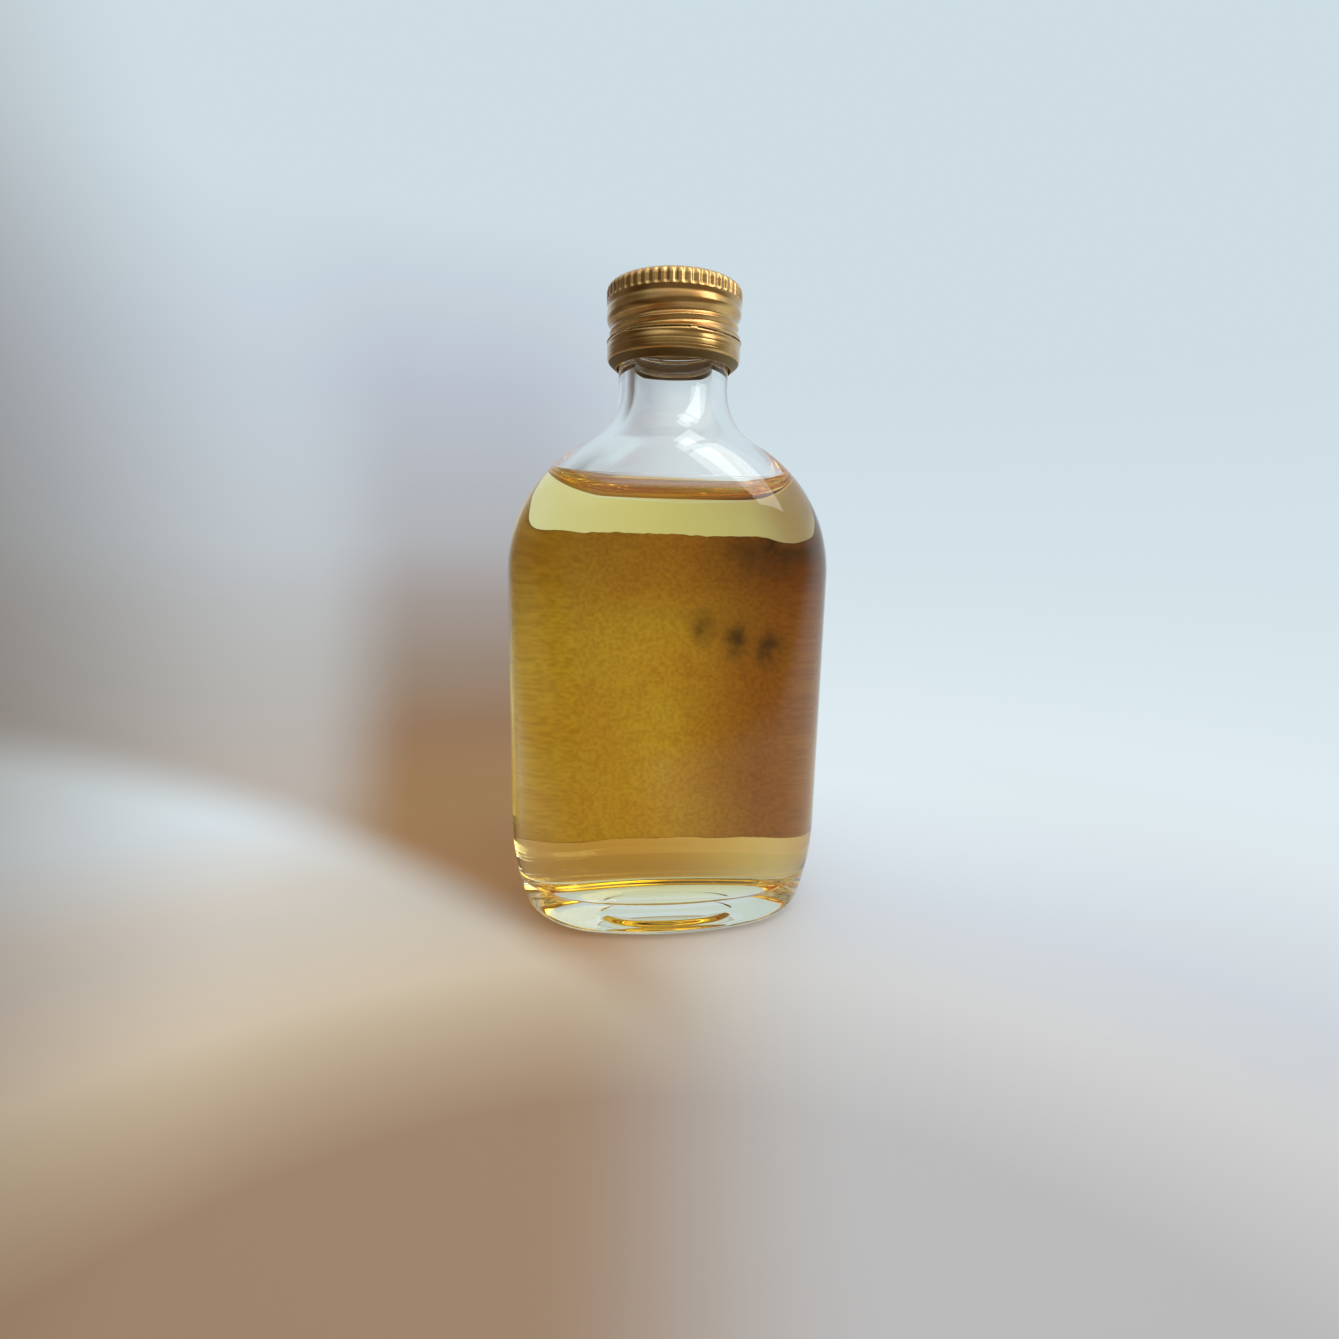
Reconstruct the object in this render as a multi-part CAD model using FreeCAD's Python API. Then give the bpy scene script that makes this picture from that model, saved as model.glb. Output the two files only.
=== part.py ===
import FreeCAD, Part
import math
import os

# A small flat glass flask of oil, closed by a rolled-on aluminium screw cap with a break-off band.
# Millimetres. The origin is the middle of the foot, +Z runs up the neck, X is the wide way.
# The plain face looks towards -Y, and the paper label is on the +Y face.

# Flask body
BODY_WIDTH = 45.4
BODY_DEPTH = 28.0
OVAL_BLEND_ANGLE = 75.0
SHOULDER_START = 49.2
SHOULDER_RADIUS = 20.0
NECK_BLEND_RADIUS = 8.3
FACE_SHOULDER_START = 57.0
FACE_SHOULDER_SHARE = 0.65
NECK_DIAMETER = 14.9
NECK_LENGTH = 3.1

# Heel, foot and base of the flask
HEEL_HEIGHT = 13.0
HEEL_SIDE_TAPER = 2.55
HEEL_FACE_TAPER = 0.7
FOOT_EDGE_RADIUS = 2.1
BEARING_WIDTH = 5.0
PUSH_UP_DEPTH = 0.4
PUSH_UP_RIM = 1.0
WALL_THICKNESS = 2.1
SIDE_WALL_THICKNESS = 3.4
BASE_THICKNESS = 4.2
INNER_HEEL_RADIUS = 2.2

# Neck finish, from the neck up to the pouring lip
RING_DIAMETER = 17.0
RING_FLANK = 0.8
RING_LAND = 0.8
RING_TOP_FLANK = 0.6
THREAD_LAND_DIAMETER = 15.2
THREAD_LAND_HEIGHT = 5.0
LIP_HEIGHT = 1.1
LIP_RADIUS = 0.5

# Rolled-on cap and the band below its slit
SHELL_THICKNESS = 0.22
CAP_CLEARANCE = 0.38
CAP_CORNER_RADIUS = 0.9
KNURL_HEIGHT = 2.2
KNURL_COUNT = 50
KNURL_DEPTH = 0.2
KNURL_CUTTER_RADIUS = 0.45
PLAIN_BELT_HEIGHT = 2.25
ROLL_PITCH = 1.1
ROLL_COUNT = 2
ROLL_DEPTH = 0.6
ROLL_RIDGE_DROP = 0.35
SKIRT_FLARE = 0.1
SKIRT_FLARE_HEIGHT = 0.3
SLIT_WIDTH = 0.25
BAND_HEIGHT = 2.1
BAND_TUCK_HEIGHT = 1.05
BAND_TUCK_CLEARANCE = 0.3
BRIDGE_COUNT = 6
FIRST_BRIDGE_ANGLE = -82.0
BRIDGE_WIDTH = 0.9
BRIDGE_CLEARANCE = 0.05

# Sealing wad inside the cap
WAD_THICKNESS = 1.1
WAD_CLEARANCE = 0.13
FACING_THICKNESS = 0.1
SEAL_CLEARANCE = 0.05

# Oil and label
OIL_LEVEL = 58.9
OIL_CLEARANCE = 0.05
LABEL_WIDTH = 37.0
LABEL_BOTTOM = 7.2
LABEL_HEIGHT = 47.7
LABEL_THICKNESS = 0.12
LABEL_GLUE = 0.05

# Sizes that follow from the ones above
NECK_RADIUS = NECK_DIAMETER / 2
HALF_WIDTH = BODY_WIDTH / 2
HALF_DEPTH = BODY_DEPTH / 2
SHOULDER_SUM = SHOULDER_RADIUS + NECK_BLEND_RADIUS
SHOULDER_STEP = HALF_WIDTH - NECK_RADIUS
SHOULDER_RISE = math.sqrt(SHOULDER_SUM ** 2 - (SHOULDER_SUM - SHOULDER_STEP) ** 2)
NECK_START = SHOULDER_START + SHOULDER_RISE
FACE_RISE = NECK_START - FACE_SHOULDER_START
FACE_STEP = HALF_DEPTH - NECK_RADIUS
FACE_SUM = (FACE_RISE ** 2 + FACE_STEP ** 2) / (2 * FACE_STEP)
FACE_BLEND_RADIUS = FACE_SUM * (1 - FACE_SHOULDER_SHARE)
NECK_TOP = NECK_START + NECK_LENGTH
LAND_BOTTOM = NECK_TOP + RING_FLANK + RING_LAND + RING_TOP_FLANK
LIP_TOP = LAND_BOTTOM + THREAD_LAND_HEIGHT + LIP_HEIGHT
BORE_RADIUS = NECK_RADIUS - WALL_THICKNESS
RING_RADIUS = RING_DIAMETER / 2
LAND_RADIUS = THREAD_LAND_DIAMETER / 2
CAP_RADIUS = RING_RADIUS + CAP_CLEARANCE + SHELL_THICKNESS
FACING_BOTTOM = LIP_TOP + SEAL_CLEARANCE
WAD_BOTTOM = FACING_BOTTOM + FACING_THICKNESS
WAD_TOP = WAD_BOTTOM + WAD_THICKNESS
CAP_TOP = WAD_TOP + SHELL_THICKNESS
KNURL_BOTTOM = CAP_TOP - KNURL_HEIGHT
ROLL_TOP = KNURL_BOTTOM - PLAIN_BELT_HEIGHT
SKIRT_BOTTOM = ROLL_TOP - ROLL_COUNT * ROLL_PITCH - SKIRT_FLARE_HEIGHT
BAND_TOP = SKIRT_BOTTOM - SLIT_WIDTH
KNURL_WALL = SHELL_THICKNESS + KNURL_DEPTH
WAD_RADIUS = CAP_RADIUS - KNURL_WALL - WAD_CLEARANCE
PART_CLEAR = BODY_WIDTH + BODY_DEPTH

Z_AXIS = FreeCAD.Vector(0, 0, 1)
ORIGIN = FreeCAD.Vector(0, 0, 0)


def point(x, y, z):
    return FreeCAD.Vector(x, y, z)


def oval_wire(half_width, half_depth, z):
    """A closed oval of four tangent arcs, two flat ones front and back and two tight ones at the sides."""
    blend = math.radians(OVAL_BLEND_ANGLE)
    lean = 1 / math.cos(blend) - math.tan(blend)
    side = (half_depth - half_width * lean) / (1 - lean)
    middle = half_width - side
    join_x = middle + side * math.cos(blend)
    join_y = side * math.sin(blend)
    corners = [(join_x, -join_y), (join_x, join_y), (-join_x, join_y), (-join_x, -join_y)]
    crowns = [(half_width, 0), (0, half_depth), (-half_width, 0), (0, -half_depth)]
    edges = []
    for index, crown in enumerate(crowns):
        start = corners[index]
        end = corners[(index + 1) % len(corners)]
        arc = Part.Arc(point(*start, z), point(*crown, z), point(*end, z))
        edges.append(arc.toShape())
    return Part.Wire(edges)


def s_curve(z, start, wide, narrow, concave):
    """Half size at height z on a shoulder: an arc leaves the wall upright and a second one meets the neck."""
    if z <= start:
        return wide
    rise = NECK_START - start
    step = wide - narrow
    convex = (rise ** 2 + step ** 2) / (2 * step) - concave
    turn = rise * convex / (convex + concave)
    if z <= start + turn:
        return wide - convex + math.sqrt(convex ** 2 - (z - start) ** 2)
    return narrow + concave - math.sqrt(concave ** 2 - (NECK_START - z) ** 2)


def heel_taper(z, taper):
    """How far the heel has drawn in at height z, on an arc that draws in by taper at the foot."""
    radius = (HEEL_HEIGHT ** 2 + taper ** 2) / (2 * taper)
    return radius - math.sqrt(radius ** 2 - (HEEL_HEIGHT - z) ** 2)


def half_sizes(z, side_inset, face_inset):
    """Half width and half depth of the flask at height z, taken in from its outer sides and faces."""
    wide = HALF_WIDTH - side_inset
    deep = HALF_DEPTH - face_inset
    narrow = NECK_RADIUS - face_inset
    if z < HEEL_HEIGHT:
        return wide - heel_taper(z, HEEL_SIDE_TAPER), deep - heel_taper(z, HEEL_FACE_TAPER)
    if z >= NECK_START:
        return narrow, narrow
    across = s_curve(z, SHOULDER_START, wide, narrow, NECK_BLEND_RADIUS + face_inset)
    through = s_curve(z, FACE_SHOULDER_START, deep, narrow, FACE_BLEND_RADIUS + face_inset)
    return across, through


def spread(start, end, steps):
    """Heights from start up to end in even steps, with both ends."""
    return [start + (end - start) * step / steps for step in range(steps + 1)]


def flask_loft(bottom, top, side_inset, face_inset):
    """The flask's form between two heights: heel, straight wall and shoulder, each lofted through ovals."""
    spans = [
        (0.0, HEEL_HEIGHT, 4),
        (HEEL_HEIGHT, SHOULDER_START, 1),
        (SHOULDER_START, FACE_SHOULDER_START, 5),
        (FACE_SHOULDER_START, NECK_START, 12),
    ]
    solid = None
    for low, high, steps in spans:
        start = max(low, bottom)
        end = min(high, top)
        if end <= start:
            continue
        wires = [oval_wire(*half_sizes(z, side_inset, face_inset), z) for z in spread(start, end, steps)]
        piece = Part.makeLoft(wires, True, False)
        solid = piece if solid is None else solid.fuse(piece)
    return solid


def edges_at(shape, z):
    """The edges of a shape that lie flat at height z."""
    found = []
    for edge in shape.Edges:
        box = edge.BoundBox
        if abs(box.ZMin - z) < 1e-4 and abs(box.ZMax - z) < 1e-4:
            found.append(edge)
    return found


def revolved(outline):
    """A ring or disc turned about the neck axis from edges drawn in the XZ plane."""
    return Part.Face(Part.Wire(outline)).revolve(ORIGIN, Z_AXIS, 360)


def path(points):
    """Edges joining (radius, height) points. A point with a third value True is the crown of an arc."""
    edges = []
    index = 0
    places = points + [points[0]]
    while index < len(points):
        start = places[index]
        middle = places[index + 1]
        here = point(start[0], 0, start[1])
        if len(middle) == 3:
            end = places[index + 2]
            crown = point(middle[0], 0, middle[1])
            edges.append(Part.Arc(here, crown, point(end[0], 0, end[1])).toShape())
            index += 2
        else:
            edges.append(Part.LineSegment(here, point(middle[0], 0, middle[1])).toShape())
            index += 1
    return edges


def corner_arc(corner_x, corner_z, radius, side_x, side_z):
    """Crown of a rounded corner: the point of its arc nearest to the sharp corner."""
    short = radius * (1 - math.sqrt(0.5))
    return (corner_x + side_x * short, corner_z + side_z * short, True)


def neck_finish():
    """The turned neck: locking ring, screw land and rounded lip round an open bore."""
    lip_edge = LAND_RADIUS - LIP_RADIUS
    bore_edge = BORE_RADIUS + LIP_RADIUS
    ring_low = NECK_TOP + RING_FLANK
    ring_high = ring_low + RING_LAND
    outline = [
        (BORE_RADIUS, NECK_START),
        (NECK_RADIUS, NECK_START),
        (NECK_RADIUS, NECK_TOP),
        (RING_RADIUS, ring_low),
        (RING_RADIUS, ring_high),
        (LAND_RADIUS, LAND_BOTTOM),
        (LAND_RADIUS, LIP_TOP - LIP_RADIUS),
        corner_arc(LAND_RADIUS, LIP_TOP, LIP_RADIUS, -1, -1),
        (lip_edge, LIP_TOP),
        (bore_edge, LIP_TOP),
        corner_arc(BORE_RADIUS, LIP_TOP, LIP_RADIUS, 1, -1),
        (BORE_RADIUS, LIP_TOP - LIP_RADIUS),
    ]
    return revolved(path(outline))


def cavity(gap):
    """The space inside the flask up to the neck bore, drawn in by a gap from the glass."""
    floor = BASE_THICKNESS + gap
    space = flask_loft(floor, NECK_START, SIDE_WALL_THICKNESS + gap, WALL_THICKNESS + gap)
    return space.makeFillet(INNER_HEEL_RADIUS, edges_at(space, floor))


def push_up():
    """The shallow dome pressed into the underside, which leaves an oval ring to stand on."""
    foot_width, foot_depth = half_sizes(0, 0, 0)
    outer_share = 1 - (FOOT_EDGE_RADIUS + BEARING_WIDTH) / foot_depth
    rim_share = PUSH_UP_RIM / foot_depth
    wires = []
    for step in spread(0.0, 1.0, 4):
        share = outer_share - rim_share * step
        rise = PUSH_UP_DEPTH * math.sin(math.pi / 2 * step)
        wires.append(oval_wire(foot_width * share, foot_depth * share, rise))
    return Part.makeLoft(wires, True, False)


def bottle():
    body = flask_loft(0, NECK_START, 0, 0)
    body = body.makeFillet(FOOT_EDGE_RADIUS, edges_at(body, 0))
    body = body.cut(push_up()).cut(cavity(0))
    return body.fuse(neck_finish()).removeSplitter()


def oil_fill():
    """The oil, level at the shoulder, a hair clear of the glass all round."""
    block = Part.makeBox(PART_CLEAR, PART_CLEAR, OIL_LEVEL, point(-PART_CLEAR / 2, -PART_CLEAR / 2, 0))
    return cavity(OIL_CLEARANCE).common(block)


def label():
    """A paper label that wraps the back face of the flask."""
    top = LABEL_BOTTOM + LABEL_HEIGHT
    outward = -LABEL_GLUE - LABEL_THICKNESS
    inner = flask_loft(LABEL_BOTTOM, top, -LABEL_GLUE, -LABEL_GLUE)
    outer = flask_loft(LABEL_BOTTOM, top, outward, outward)
    block = Part.makeBox(LABEL_WIDTH, PART_CLEAR, PART_CLEAR, point(-LABEL_WIDTH / 2, 0, 0))
    return outer.cut(inner).common(block)


def rolled_profile(inset):
    """Points down the cap's rolled skirt, drawn in by inset: the grooves and then the flared edge."""
    radius = CAP_RADIUS - inset
    points = [(radius, ROLL_TOP)]
    for groove in range(ROLL_COUNT):
        middle = ROLL_TOP - (groove + 0.5) * ROLL_PITCH
        points.append((radius - ROLL_DEPTH, middle, True))
        points.append((radius - ROLL_RIDGE_DROP, middle - ROLL_PITCH / 2))
    points.append((radius + SKIRT_FLARE, SKIRT_BOTTOM))
    return points


def knurl_cutters():
    """Upright round cutters set round the cap's top edge."""
    reach = CAP_RADIUS + KNURL_CUTTER_RADIUS - KNURL_DEPTH
    cutters = []
    for index in range(KNURL_COUNT):
        angle = 2 * math.pi * index / KNURL_COUNT
        place = point(reach * math.cos(angle), reach * math.sin(angle), KNURL_BOTTOM)
        cutters.append(Part.makeCylinder(KNURL_CUTTER_RADIUS, 2 * KNURL_HEIGHT, place))
    return Part.makeCompound(cutters)


def cap_shell():
    inner = CAP_RADIUS - KNURL_WALL
    outline = [
        (0, CAP_TOP),
        (CAP_RADIUS - CAP_CORNER_RADIUS, CAP_TOP),
        corner_arc(CAP_RADIUS, CAP_TOP, CAP_CORNER_RADIUS, -1, -1),
        (CAP_RADIUS, CAP_TOP - CAP_CORNER_RADIUS),
    ]
    outline += rolled_profile(0)
    outline += list(reversed(rolled_profile(SHELL_THICKNESS)))
    outline += [
        (CAP_RADIUS - SHELL_THICKNESS, KNURL_BOTTOM),
        (inner, KNURL_BOTTOM),
        (inner, WAD_TOP),
        (0, WAD_TOP),
    ]
    return revolved(path(outline)).cut(knurl_cutters())


def pilfer_band():
    """The band left on the neck: upright wall, edge tucked under the locking ring, stubs of the bridges."""
    low = BAND_TOP - BAND_HEIGHT
    tuck = low - BAND_TUCK_HEIGHT
    tuck_radius = NECK_RADIUS + BAND_TUCK_CLEARANCE
    inner = CAP_RADIUS - SHELL_THICKNESS
    outline = [
        (inner, BAND_TOP),
        (CAP_RADIUS, BAND_TOP),
        (CAP_RADIUS, low),
        (tuck_radius + SHELL_THICKNESS, tuck),
        (tuck_radius, tuck),
        (inner, low),
    ]
    band = revolved(path(outline))
    stub = SLIT_WIDTH - BRIDGE_CLEARANCE
    ring = Part.makeCylinder(CAP_RADIUS, stub, point(0, 0, BAND_TOP))
    ring = ring.cut(Part.makeCylinder(inner, stub, point(0, 0, BAND_TOP)))
    bar = Part.makeBox(2 * CAP_RADIUS, BRIDGE_WIDTH, stub, point(0, -BRIDGE_WIDTH / 2, BAND_TOP))
    for index in range(BRIDGE_COUNT):
        turned = bar.copy()
        turned.rotate(ORIGIN, Z_AXIS, FIRST_BRIDGE_ANGLE + 360 * index / BRIDGE_COUNT)
        band = band.fuse(ring.common(turned))
    return band.removeSplitter()


def cap_wad():
    return Part.makeCylinder(WAD_RADIUS, WAD_THICKNESS, point(0, 0, WAD_BOTTOM))


def wad_facing():
    return Part.makeCylinder(WAD_RADIUS, FACING_THICKNESS, point(0, 0, FACING_BOTTOM))


def main():
    os.makedirs("parts", exist_ok=True)
    pieces = [bottle, oil_fill, label, cap_shell, pilfer_band, cap_wad, wad_facing]
    for piece in pieces:
        shape = piece()
        print(piece.__name__, shape.isValid(), len(shape.Solids), round(shape.Volume, 2))
        shape.exportStep(f"parts/{piece.__name__}.step")


main()
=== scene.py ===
import bpy
import math
from mathutils import Matrix, Vector, noise


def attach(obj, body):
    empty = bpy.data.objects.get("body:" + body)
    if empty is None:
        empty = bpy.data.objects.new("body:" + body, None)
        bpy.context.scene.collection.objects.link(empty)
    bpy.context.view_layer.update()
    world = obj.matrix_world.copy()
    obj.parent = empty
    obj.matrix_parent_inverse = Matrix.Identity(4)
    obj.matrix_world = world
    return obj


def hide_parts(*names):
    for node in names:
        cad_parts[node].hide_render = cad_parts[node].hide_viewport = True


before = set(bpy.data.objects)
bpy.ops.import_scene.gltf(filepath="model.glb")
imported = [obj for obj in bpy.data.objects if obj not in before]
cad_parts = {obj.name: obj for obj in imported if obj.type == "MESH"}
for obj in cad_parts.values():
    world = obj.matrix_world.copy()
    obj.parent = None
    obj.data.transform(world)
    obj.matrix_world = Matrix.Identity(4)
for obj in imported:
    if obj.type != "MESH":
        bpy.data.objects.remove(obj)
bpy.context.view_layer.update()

# A flat glass flask of yellow oil with a gold rolled-on cap, a break-off band and a paper label on its back
# Sizes are millimetres until a mesh is written, and the plain face looks towards -Y
MM = 0.001

# Flask, as in the solids
HALF_WIDTH = 22.7
HALF_DEPTH = 14.0
BLEND = math.radians(75)
SHOULDER_START = 49.2
SHOULDER_RADIUS = 20.0
NECK_BLEND_RADIUS = 8.3
FACE_SHOULDER_START = 57.0
FACE_SHOULDER_SHARE = 0.65
NECK_RADIUS = 7.45
NECK_LENGTH = 3.1
HEEL_HEIGHT = 13.0
HEEL_SIDE_TAPER = 2.55
HEEL_FACE_TAPER = 0.7
FOOT_EDGE_RADIUS = 2.1
BEARING_WIDTH = 5.0
PUSH_UP_DEPTH = 0.4
PUSH_UP_RIM = 1.0
WALL = 2.1
SIDE_WALL = 3.4
FLOOR = 4.2
INNER_HEEL_RADIUS = 2.2
RING_RADIUS = 8.5
RING_FLANK = 0.8
RING_LAND = 0.8
RING_TOP_FLANK = 0.6
LAND_RADIUS = 7.6
LAND_HEIGHT = 5.0
LIP_HEIGHT = 1.1
LIP_RADIUS = 0.5

# Screw ridge and soft corners of the neck, which the solids don't have
THREAD_PITCH = 1.1
THREAD_TURNS = 2.2
THREAD_RIDGE = 0.42
THREAD_HALF_WIDTH = 0.3
THREAD_START = 0.9
THREAD_END = 0.12
NECK_SOFTENING = 0.4
NECK_FLARE = 0.1
LAND_SOFTENING = 0.3
LAND_MESH_START = 0.35
CENTRE_SHARE = 0.12
FLOOR_CENTRE_SHARE = 0.1

# How far the blown inside of the glass wavers, and where that fades out
LEFT_WAVE_SPREAD = 0.75
RIGHT_WAVE_SPREAD = 0.6
RIPPLE = 0.16
LEFT_DRIFT = 0.3
RIGHT_DRIFT = 0.14
ALL_DRIFT = 0.03
WAVE_FLOOR_GAP = 1
WAVE_LOW_FADE = 6
WAVE_HIGH_FADE = 8

# Cap and band, as in the solids
SHELL = 0.22
CAP_RADIUS = 9.1
CAP_CORNER = 0.9
CAP_TOP = 87.1815
WAD_TOP = 86.9615
KNURL_BOTTOM = 84.9815
KNURL_COUNT = 50
KNURL_DEPTH = 0.2
KNURL_WALL = 0.42
SKIRT_BOTTOM = 80.2315
BAND_TOP = 79.9815
BAND_LOW = 77.8815
BAND_TUCK = 76.8315
TUCK_RADIUS = 7.75
BRIDGE_COUNT = 6
BRIDGE_WIDTH = 0.9
BRIDGE_HEIGHT = 0.2
FIRST_BRIDGE = math.radians(-82)
SKIRT_FLAT = 0.16
SKIRT_DIP = 0.025
SKIRT_EDGE = 1.0

# Fine forms of the cap and band, which the solids don't have
GROOVE_CLIMB = 0.42
GROOVE_LOW_FADE = (0.2, 0.5)
GROOVE_HIGH_FADE = (0.9, 0.7)
KNURL_FADE_LOW = 0.4
KNURL_FADE_HIGH = 0.25
KNURL_TOP_GAP = 0.03
KNURL_SHARPNESS = 1.6
DENT = 0.03
DENT_SCALE = (2, 0.5)
CAP_TOP_RADII = (7.9, 7.6, 6.5, 4.5, 2.0, 0.5)
CAP_CENTRE = 0.5
CAP_INNER_STEP = 0.1
CAP_MESH_STEP = 0.05
BAND_INSET = 0.06
BAND_MARGIN = 0.5
BAND_CORNER_INSET = 0.1
BAND_CORNER_DROP = 0.15
BAND_CORNER_RISE = 0.4
BAND_FLARE = 0.05
BAND_FLARE_HEIGHT = 0.4
BAND_EDGE = 0.9
BAND_TUCK_LINE = 0.25
BAND_LINE_DEPTH = 0.018
BAND_LINES = [(78.9, 0.07, 1.0), (78.2, 0.06, 0.8)]

# Oil and label
OIL_LEVEL = 58.7
CAPILLARY = 1.87
CONTACT_SLOPE = math.radians(112)
LEVEL_SLOPE = math.radians(8)
OIL_GAP = 0.05
SURFACE_SKIN = 0.25
OIL_TOP_SHARES = (0.8, 0.6, 0.4, 0.2, 0.05)
LABEL_BOTTOM = 7.2
LABEL_TOP = 54.9
LABEL_LEFT = -18.5
LABEL_RIGHT = 18.5
LABEL_END_WAVER = 0.35
LABEL_CORNER_DROP = 1.5
LABEL_CORNER_POWER = 10
LABEL_CORNER_LEFT = 13.3
LABEL_CORNER_RIGHT = 16.5
LABEL_GLUE = 0.05
LABEL_PROUD = 0.17
COARSE_EDGE = 0.35
COARSE_EDGE_SCALE = 0.16
FINE_EDGE = 0.12
FINE_EDGE_SCALE = 0.9
BOTTOM_SEED, TOP_SEED, LEFT_SEED, RIGHT_SEED = 1.0, 7.0, 3.0, 5.0

# Tones of the label, and where they begin and are full: painted shade on the right side, a browned top,
# fibre grain and a stained corner
LABEL_SHADE_SIDE = (-2, 17)
LABEL_SHADE_TONE = (0.68, 0.5, 0.45)
BROWNED_TOP = (36, 54)
BROWNED_TONE = (0.82, 0.72, 0.7)
GRAIN_TONE = (0.86, 0.82, 0.78)
STAINED_CORNER_ACROSS = (4, 15)
STAINED_CORNER_UP = (46, 53.5)

# Soft stains on the label: place across, height, half width and depth of tone
STAIN_SQUASH = 0.6
STAINS = [
    (5.6, 40.9, 2.7, 0.65),
    (10.0, 39.2, 2.7, 0.95),
    (14.4, 37.8, 2.8, 1.0),
]

# How finely the meshes are divided
SIDE_STEPS = 56
FACE_STEPS = 96
ROUND_STEPS = 700
HEEL_ROWS = 16
WALL_ROWS = 24
SHOULDER_ROWS = 80
HEADSPACE_ROWS = 46
WET_SHOULDER_ROWS = 34
WET_WALL_ROWS = 90
MENISCUS_ROWS = 44
THREAD_ROWS = 46
BORE_ROWS = 12
FLOOR_ROWS = 6
FILLET_ROWS = 8
LIP_ROWS = 6
SKIRT_ROWS = 90
KNURL_ROWS = 14
BAND_ROWS = 16
CORNER_ROWS = 9
LABEL_COLUMNS = 180
LABEL_ROWS = 150
CORNER_CUTS = 3
HALVINGS = 40

SHOULDER_SUM = SHOULDER_RADIUS + NECK_BLEND_RADIUS
SHOULDER_RISE = math.sqrt(SHOULDER_SUM ** 2 - (SHOULDER_SUM - HALF_WIDTH + NECK_RADIUS) ** 2)
NECK_START = SHOULDER_START + SHOULDER_RISE
FACE_RISE = NECK_START - FACE_SHOULDER_START
FACE_STEP = HALF_DEPTH - NECK_RADIUS
FACE_BLEND_RADIUS = (FACE_RISE ** 2 + FACE_STEP ** 2) / (2 * FACE_STEP) * (1 - FACE_SHOULDER_SHARE)
NECK_TOP = NECK_START + NECK_LENGTH
LAND_BOTTOM = NECK_TOP + RING_FLANK + RING_LAND + RING_TOP_FLANK
LIP_TOP = LAND_BOTTOM + LAND_HEIGHT + LIP_HEIGHT
BORE_RADIUS = NECK_RADIUS - WALL
CONTACT = OIL_LEVEL + 2 * CAPILLARY * math.sin(CONTACT_SLOPE / 2)


def spread(start, end, steps):
    """Numbers from start to end in even steps, with both ends."""
    return [start + (end - start) * step / steps for step in range(steps + 1)]


def bell(distance, width):
    """A smooth hump, 1 at the middle."""
    return math.exp(-(distance / width) ** 2)


def ease(value):
    """0 below 0, 1 above 1 and smooth between."""
    held = min(max(value, 0.0), 1.0)
    return held * held * (3 - 2 * held)


def oval_point(half_width, half_depth, turn):
    """The point of a four-arc oval where its outward side faces the angle turn."""
    lean = 1 / math.cos(BLEND) - math.tan(BLEND)
    side = (half_depth - half_width * lean) / (1 - lean)
    across, through = math.cos(turn), math.sin(turn)
    if abs(through) <= math.sin(BLEND):
        return math.copysign(half_width - side, across) + side * across, side * through
    face = half_depth + (half_width - side) * math.tan(BLEND)
    return face * across, face * through - math.copysign(face - half_depth, through)


def oval_turns():
    """Facing angles round the oval, closer together on the tight sides."""
    corners = [-BLEND, BLEND, math.pi - BLEND, math.pi + BLEND, 2 * math.pi - BLEND]
    turns = []
    for index, steps in enumerate((SIDE_STEPS, FACE_STEPS, SIDE_STEPS, FACE_STEPS)):
        turns += spread(corners[index], corners[index + 1], steps)[:-1]
    return turns


OVAL_TURNS = oval_turns()
ROUND_TURNS = spread(0, 2 * math.pi, ROUND_STEPS)[:-1]


def s_curve(z, start, wide, narrow, concave):
    """Half size at height z on a shoulder: one arc leaves the wall and a second one meets the neck."""
    if z <= start:
        return wide
    rise = NECK_START - start
    step = wide - narrow
    convex = (rise ** 2 + step ** 2) / (2 * step) - concave
    turn = rise * convex / (convex + concave)
    if z <= start + turn:
        return wide - convex + math.sqrt(convex ** 2 - (z - start) ** 2)
    return narrow + concave - math.sqrt(concave ** 2 - (NECK_START - z) ** 2)


def heel_taper(z, taper):
    """How far the heel has drawn in at height z, on an arc that draws in by taper at the foot."""
    radius = (HEEL_HEIGHT ** 2 + taper ** 2) / (2 * taper)
    return radius - math.sqrt(radius ** 2 - (HEEL_HEIGHT - z) ** 2)


def half_sizes(z, side_inset, face_inset):
    """Half width and half depth of the flask at height z, taken in from its outer sides and faces."""
    wide, deep, narrow = HALF_WIDTH - side_inset, HALF_DEPTH - face_inset, NECK_RADIUS - face_inset
    if z < HEEL_HEIGHT:
        return wide - heel_taper(z, HEEL_SIDE_TAPER), deep - heel_taper(z, HEEL_FACE_TAPER)
    if z >= NECK_START:
        return narrow, narrow
    across = s_curve(z, SHOULDER_START, wide, narrow, NECK_BLEND_RADIUS + face_inset)
    through = s_curve(z, FACE_SHOULDER_START, deep, narrow, FACE_BLEND_RADIUS + face_inset)
    return across, through


def oval_ring(half_width, half_depth, z):
    return [(*oval_point(half_width, half_depth, turn), z) for turn in OVAL_TURNS]


def inner_wave(turn, z):
    """How far the blown inside of the glass runs in or out of true, most on the left side."""
    left = bell(math.atan2(math.sin(turn - math.pi), math.cos(turn - math.pi)), LEFT_WAVE_SPREAD)
    right = bell(math.atan2(math.sin(turn), math.cos(turn)), RIGHT_WAVE_SPREAD)
    ripple = math.sin(z / 1.75 + 0.6) + 0.6 * math.sin(z / 1.02 + 2.0)
    drift = math.sin(z / 5.2 + 0.4)
    fade = ease((z - FLOOR - WAVE_FLOOR_GAP) / WAVE_LOW_FADE)
    fade *= ease((SHOULDER_START + WAVE_HIGH_FADE - z) / WAVE_HIGH_FADE)
    wave = left * (RIPPLE * ripple + LEFT_DRIFT * drift)
    wave += right * RIGHT_DRIFT * math.sin(z / 4.1 + 1.2)
    return fade * (wave + ALL_DRIFT * drift)


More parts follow.
